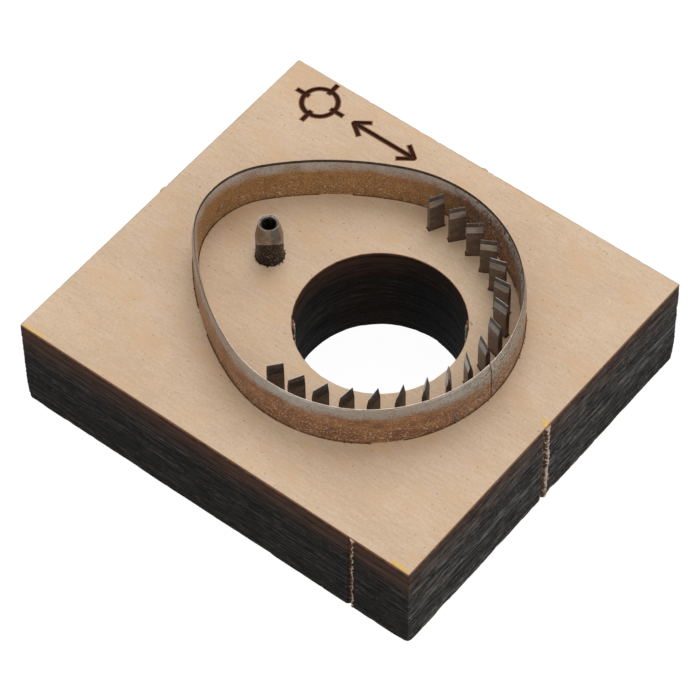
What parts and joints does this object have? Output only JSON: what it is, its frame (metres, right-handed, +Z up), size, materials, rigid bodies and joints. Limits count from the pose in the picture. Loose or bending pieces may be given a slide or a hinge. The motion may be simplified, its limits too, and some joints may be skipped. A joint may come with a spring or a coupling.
{
  "type": "steel rule die",
  "caption": "Egg-shaped cutting die: a bent steel rule, a hollow punch and a row of slanted slit blades set in a plywood board with a round push-out hole.",
  "frame": {"origin": "middle of the board's back face, which is the face that lies on the press plate", "axes": "+Z up towards the cutting edges, +X along the cut shape towards its wide end, +Y across it"},
  "size_m": [0.0672, 0.0612, 0.023],
  "materials": {
    "birch_plywood": "bare, laser-charred sides",
    "rule_steel": "bronze oxide, ground edge",
    "blade_steel": "dark oxide, ground edge",
    "punch_steel": "turned, ground tip"
  },
  "bodies": {
    "root": {"die_board": "birch_plywood", "cutting_rule": "rule_steel", "hole_punch": "punch_steel", "slit_blade_01": "blade_steel", "slit_blade_02": "blade_steel", "slit_blade_03": "blade_steel", "slit_blade_04": "blade_steel", "slit_blade_05": "blade_steel", "slit_blade_06": "blade_steel", "slit_blade_07": "blade_steel", "slit_blade_08": "blade_steel", "slit_blade_09": "blade_steel", "slit_blade_10": "blade_steel", "slit_blade_11": "blade_steel", "slit_blade_12": "blade_steel", "slit_blade_13": "blade_steel", "slit_blade_14": "blade_steel", "slit_blade_15": "blade_steel", "slit_blade_16": "blade_steel", "slit_blade_17": "blade_steel", "slit_blade_18": "blade_steel"}
  },
  "joints": []
}
